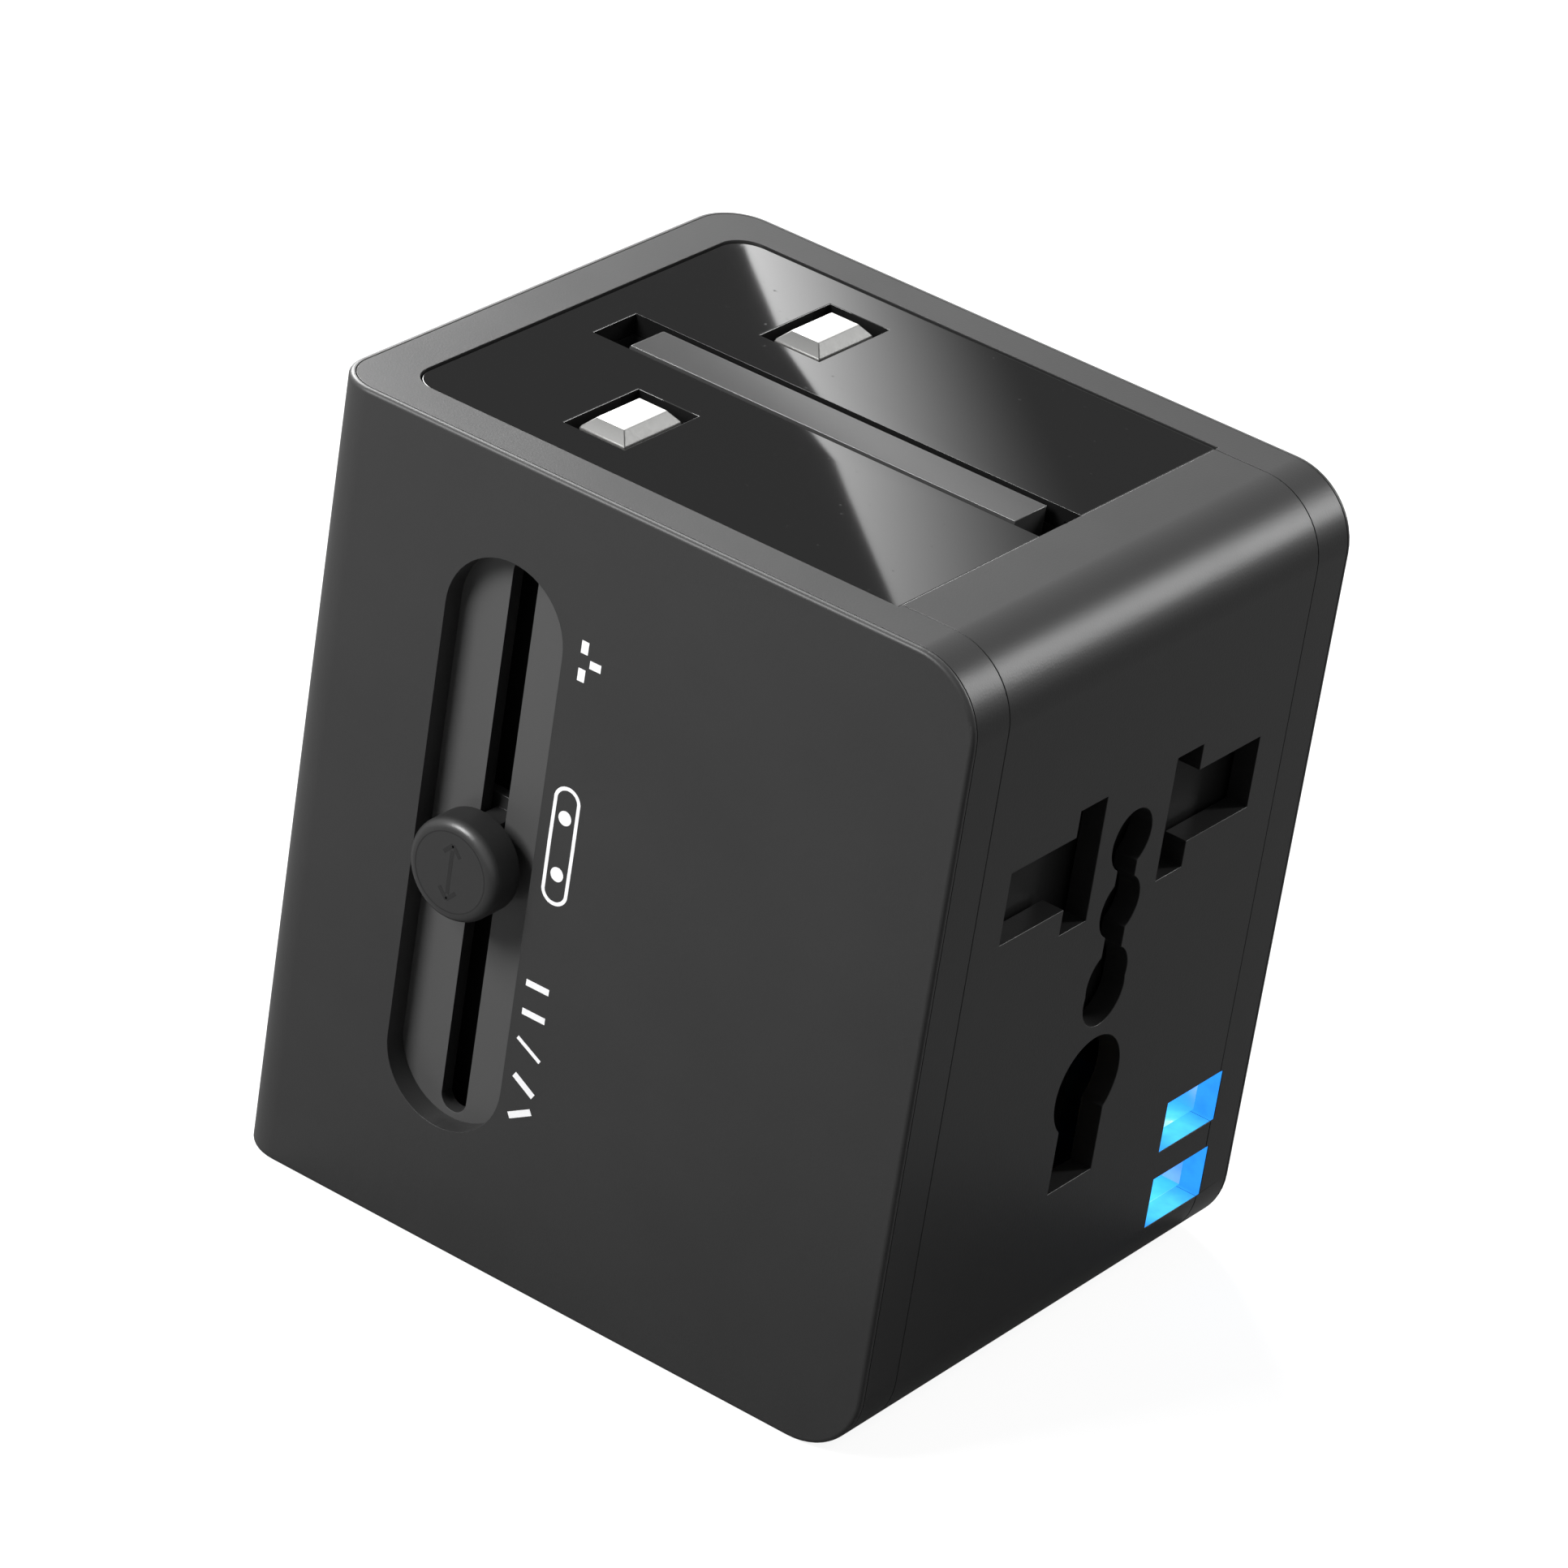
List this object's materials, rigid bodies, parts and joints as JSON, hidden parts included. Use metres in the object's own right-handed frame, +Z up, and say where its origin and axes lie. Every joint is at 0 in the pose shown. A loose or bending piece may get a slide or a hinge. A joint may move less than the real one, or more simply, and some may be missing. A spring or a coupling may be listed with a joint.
{
  "type": "universal travel adapter",
  "caption": "Block-shaped travel plug adapter with sliding plug pins, a folding earth pin, folding round pins, a shuttered universal socket and two charging ports.",
  "frame": {"origin": "middle of the flat bottom face, which holds the two flat blades", "axes": "+Z up to the face with the rectangular pins, +X to the socket face, -Y to the face with the slider knob"},
  "size_m": [0.0556, 0.0476, 0.0619],
  "materials": {
    "casing_plastic": "satin, fine grain",
    "panel_plastic": "polished",
    "track_plastic": "satin",
    "knob_plastic": "satin",
    "earth_plastic": "satin grey",
    "inner_plastic": "plain moulded",
    "plated_brass": "nickel plated",
    "contact_brass": "bare stamped",
    "steel": "bright",
    "spring_steel": "drawn wire",
    "screw_steel": "black zinc",
    "fuse_ceramic": "glazed ceramic, taken as gloss plastic",
    "circuit_board": "lacquered",
    "usb_blue": "lit blue",
    "part_black": "moulded",
    "light_clear": "clear"
  },
  "bodies": {
    "housing": {"main_shell": "casing_plastic", "wrap_cover": "casing_plastic", "socket_cover": "casing_plastic", "plug_panel": "panel_plastic", "blade_plate": "panel_plastic", "case_screws": "screw_steel", "slider_track": "track_plastic", "shuttle_cage": "inner_plastic", "live_busbar": "contact_brass", "neutral_busbar": "contact_brass", "earth_channel": "inner_plastic", "earth_axle": "steel", "euro_bay": "inner_plastic", "euro_axle": "steel", "live_contact": "contact_brass", "neutral_contact": "contact_brass", "earth_contact": "contact_brass", "socket_block": "inner_plastic", "shutter_spring": "spring_steel", "fuse_body": "fuse_ceramic", "fuse_caps": "plated_brass", "fuse_clips": "contact_brass", "usb_board": "circuit_board", "usb_port_upper": "steel", "usb_port_lower": "steel", "usb_tongue_upper": "usb_blue", "usb_tongue_lower": "usb_blue", "usb_transformer": "part_black", "usb_capacitors": "part_black", "usb_chip": "part_black", "usb_light": "light_clear"},
    "shuttle": {"shuttle_block": "inner_plastic", "uk_pin_live": "plated_brass", "uk_pin_neutral": "plated_brass", "live_wiper": "contact_brass", "neutral_wiper": "contact_brass", "knob_spring": "spring_steel"},
    "push_knob": {"slider_knob": "knob_plastic"},
    "live_blade": {"blade_live": "plated_brass", "blade_hub_live": "inner_plastic"},
    "neutral_blade": {"blade_neutral": "plated_brass", "blade_hub_neutral": "inner_plastic"},
    "earth_prong": {"earth_pin": "earth_plastic"},
    "euro_prongs": {"euro_carrier": "knob_plastic", "euro_pin_live": "plated_brass", "euro_pin_neutral": "plated_brass"},
    "shutter": {"socket_shutter": "knob_plastic"}
  },
  "joints": [
    {"name": "shuttle_slide", "type": "slide", "parent": "housing", "child": "shuttle", "axis": [0, 0, 1], "range_m": [-0.01745, 0.01745]},
    {"name": "knob_press", "type": "slide", "parent": "shuttle", "child": "push_knob", "axis": [0, 1, 0], "range_m": [0, 0.0012], "stiffness_N_per_m": 400, "springref_m": -0.0005, "deforming": ["knob_spring"]},
    {"name": "live_blade_twist", "type": "hinge", "parent": "shuttle", "child": "live_blade", "pos_m": [-0.01036, 0.00635, 0.0196], "axis": [0, 0, 1], "range_deg": [0, 30]},
    {"name": "neutral_blade_twist", "type": "hinge", "parent": "shuttle", "child": "neutral_blade", "pos_m": [-0.01036, -0.00635, 0.0196], "axis": [0, 0, 1], "range_deg": [-30, 0]},
    {"name": "earth_prong_fold", "type": "hinge", "parent": "housing", "child": "earth_prong", "pos_m": [0.01037, 0, 0.05593], "axis": [0, 1, 0], "range_deg": [0, 90]},
    {"name": "euro_prongs_fold", "type": "hinge", "parent": "housing", "child": "euro_prongs", "pos_m": [-0.0245, 0, 0.036], "axis": [0, 1, 0], "range_deg": [0, 90]},
    {"name": "shutter_slide", "type": "slide", "parent": "housing", "child": "shutter", "axis": [0, 0, 1], "range_m": [0, 0.0104], "stiffness_N_per_m": 20, "springref_m": -0.003, "deforming": ["shutter_spring"]}
  ]
}
